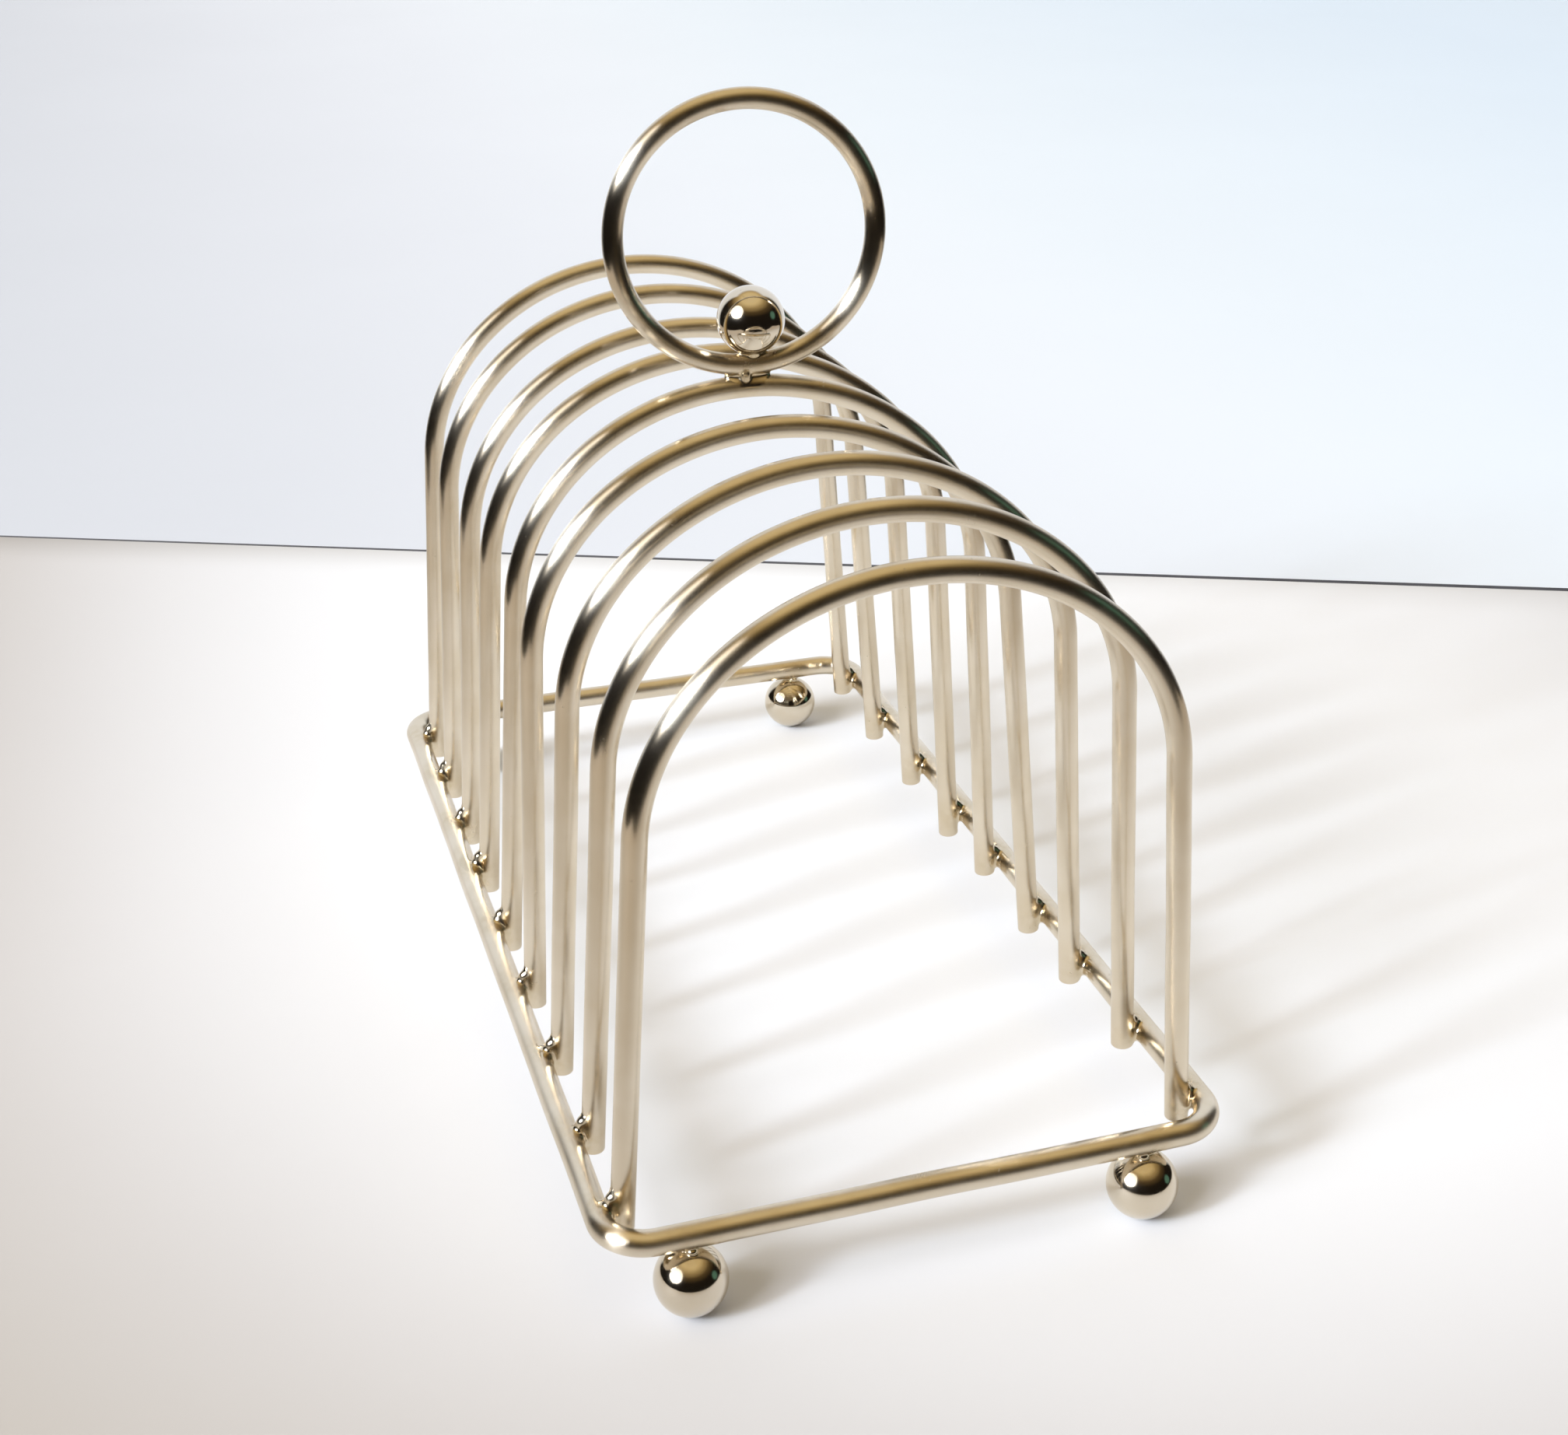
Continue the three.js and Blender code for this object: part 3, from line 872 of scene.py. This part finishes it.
def dot_dir(v, x, y):
    n = node(wt, "ShaderNodeVectorMath", x, y, operation="DOT_PRODUCT")
    WL(tc.outputs["Generated"], n.inputs[0])
    n.inputs[1].default_value = v
    return n.outputs["Value"]


def map_range(value, a, b, c, d, x, y, smooth=True):
    n = node(wt, "ShaderNodeMapRange", x, y)
    if smooth:
        n.interpolation_type = "SMOOTHSTEP"
    n.inputs["From Min"].default_value = a
    n.inputs["From Max"].default_value = b
    n.inputs["To Min"].default_value = c
    n.inputs["To Max"].default_value = d
    WL(value, n.inputs["Value"])
    return n.outputs["Result"]


def math_node(op, a, b, x, y):
    n = node(wt, "ShaderNodeMath", x, y, operation=op)
    for k, v in enumerate((a, b)):
        if isinstance(v, (int, float)):
            n.inputs[k].default_value = v
        else:
            WL(v, n.inputs[k])
    return n.outputs[0]


def mix_colour(f, a, b, x, y):
    n = node(wt, "ShaderNodeMix", x, y, data_type="RGBA")
    WL(f, n.inputs["Factor"])
    for s, v in (("A", a), ("B", b)):
        if isinstance(v, tuple):
            n.inputs[s].default_value = (*v, 1)
        else:
            WL(v, n.inputs[s])
    return n.outputs["Result"]


# the room: dark low down and in front, warm and lighter overhead
up = node(wt, "ShaderNodeValToRGB", -900, 300)
cr = up.color_ramp
cr.elements[0].position = 0.0
cr.elements[0].color = (0.012, 0.010, 0.008, 1)
cr.elements[1].position = 1.0
cr.elements[1].color = (0.80, 0.65, 0.38, 1)
for pos, col in ((0.40, (0.016, 0.012, 0.008)), (0.62, (0.10, 0.066, 0.027)), (0.80, (0.44, 0.32, 0.145)), (0.92, (0.82, 0.65, 0.35))):
    e = cr.elements.new(pos)
    e.color = (*col, 1)
WL(sep.outputs["Z"], up.inputs["Fac"])
room = up.outputs["Color"]
# a dim green thing off to the right
green = map_range(dot_dir((0.905, -0.36, 0.215), -900, -100), 0.975, 0.992, 0, 1, -700, -100)
room = mix_colour(green, room, (0.10, 0.22, 0.17), -500, 100)
# the white wall behind
hx = dot_dir((0.259, 0.966, 0.0), -900, -300)
horiz = math_node("SQRT", math_node("SUBTRACT", 1.0, math_node("MULTIPLY", sep.outputs["Z"], sep.outputs["Z"], -900, -500), -720, -500), 0.0, -560, -500)
az = math_node("DIVIDE", hx, math_node("MAXIMUM", horiz, 0.001, -560, -640), -400, -400)
wall_az = map_range(az, 0.55, 0.72, 0, 1, -240, -400)
wall_el = map_range(sep.outputs["Z"], 0.72, 0.86, 1, 0, -240, -600)
wall = math_node("MULTIPLY", wall_az, wall_el, 0, -500)
room = mix_colour(wall, room, (1.0, 1.04, 1.12), 200, 0)
bg_room = node(wt, "ShaderNodeBackground", 800, 100)
bg_room.inputs["Strength"].default_value = 1.0
WL(room, bg_room.inputs["Color"])
bg_cam = node(wt, "ShaderNodeBackground", 800, -150)
bg_cam.inputs["Color"].default_value = (0.86, 0.875, 0.90, 1)
lp = node(wt, "ShaderNodeLightPath", 800, 400)
mixw = node(wt, "ShaderNodeMixShader", 1100, 0)
WL(lp.outputs["Is Camera Ray"], mixw.inputs[0])
WL(bg_room.outputs[0], mixw.inputs[1])
WL(bg_cam.outputs[0], mixw.inputs[2])
WL(mixw.outputs[0], wout.inputs["Surface"])


# ---------------------------------------------------------------------- lights
def area(name, direction, distance, width, height, radiance, colour=(1, 1, 1), shape="ELLIPSE", target=(0, 0, 0.05)):
    ld = bpy.data.lights.new(name, "AREA")
    ld.shape = shape
    ld.size = width
    ld.size_y = height
    a = width * height * (math.pi / 4 if shape == "ELLIPSE" else 1)
    ld.energy = radiance * math.pi * a
    ld.color = colour
    ob = bpy.data.objects.new(name, ld)
    bpy.context.scene.collection.objects.link(ob)
    d = Vector(direction).normalized()
    ob.location = Vector(target) + d * distance
    ob.rotation_mode = "QUATERNION"
    ob.rotation_quaternion = d.to_track_quat("Z", "Y")
    ob.visible_camera = False
    return ob


# the window, as it lights the paper and as it shows in the polished metal
area("window", (-0.802, -0.2606, 0.5373), 14.0, 8.8, 7.8, 9.0, (0.93, 0.97, 1.09)).visible_glossy = False
area("window_shine", (-0.8495, -0.2760, 0.4496), 14.0, 8.8, 4.9, 17.0, (0.93, 0.97, 1.09)).visible_diffuse = False
# its paler surround
area("window_surround", (-0.802, -0.2606, 0.5373), 14.3, 11.2, 10.4, 1.9, (1.0, 0.98, 0.96))
# the brightest part of the window, which draws the soft striped shadows
area("window_bright", (-0.8654, -0.2563, 0.4305), 13.0, 1.9, 3.2, 70.0, (0.86, 1.0, 1.17))

# ---------------------------------------------------------------------- camera
CAM_C = (-106.946, -371.961, 239.145)
CAM_YAW, CAM_PITCH, CAM_ROLL = 0.310228, 0.439348, -0.004467
CAM_F, CAM_CX, CAM_CY = 2912.51, 1043.98, 891.12
fwd = Vector((math.sin(CAM_YAW) * math.cos(CAM_PITCH), math.cos(CAM_YAW) * math.cos(CAM_PITCH), -math.sin(CAM_PITCH)))
right = Vector((math.cos(CAM_YAW), -math.sin(CAM_YAW), 0.0))
upv = right.cross(fwd)
r2 = math.cos(CAM_ROLL) * right + math.sin(CAM_ROLL) * upv
u2 = -math.sin(CAM_ROLL) * right + math.cos(CAM_ROLL) * upv
cam_data = bpy.data.cameras.new("camera")
cam = bpy.data.objects.new("camera", cam_data)
bpy.context.scene.collection.objects.link(cam)
rot = Matrix((r2, u2, -fwd)).transposed()
cam.matrix_world = Matrix.Translation(Vector(CAM_C) * MM) @ rot.to_4x4()
cam_data.sensor_width = 36.0
cam_data.lens = CAM_F / 2016.0 * 36.0
cam_data.shift_x = (1008.0 - CAM_CX) / 2016.0
cam_data.shift_y = (CAM_CY - 922.5) / 2016.0
cam_data.clip_start = 0.01
cam_data.clip_end = 60.0
bpy.context.scene.camera = cam
bpy.context.scene.view_settings.view_transform = "Standard"
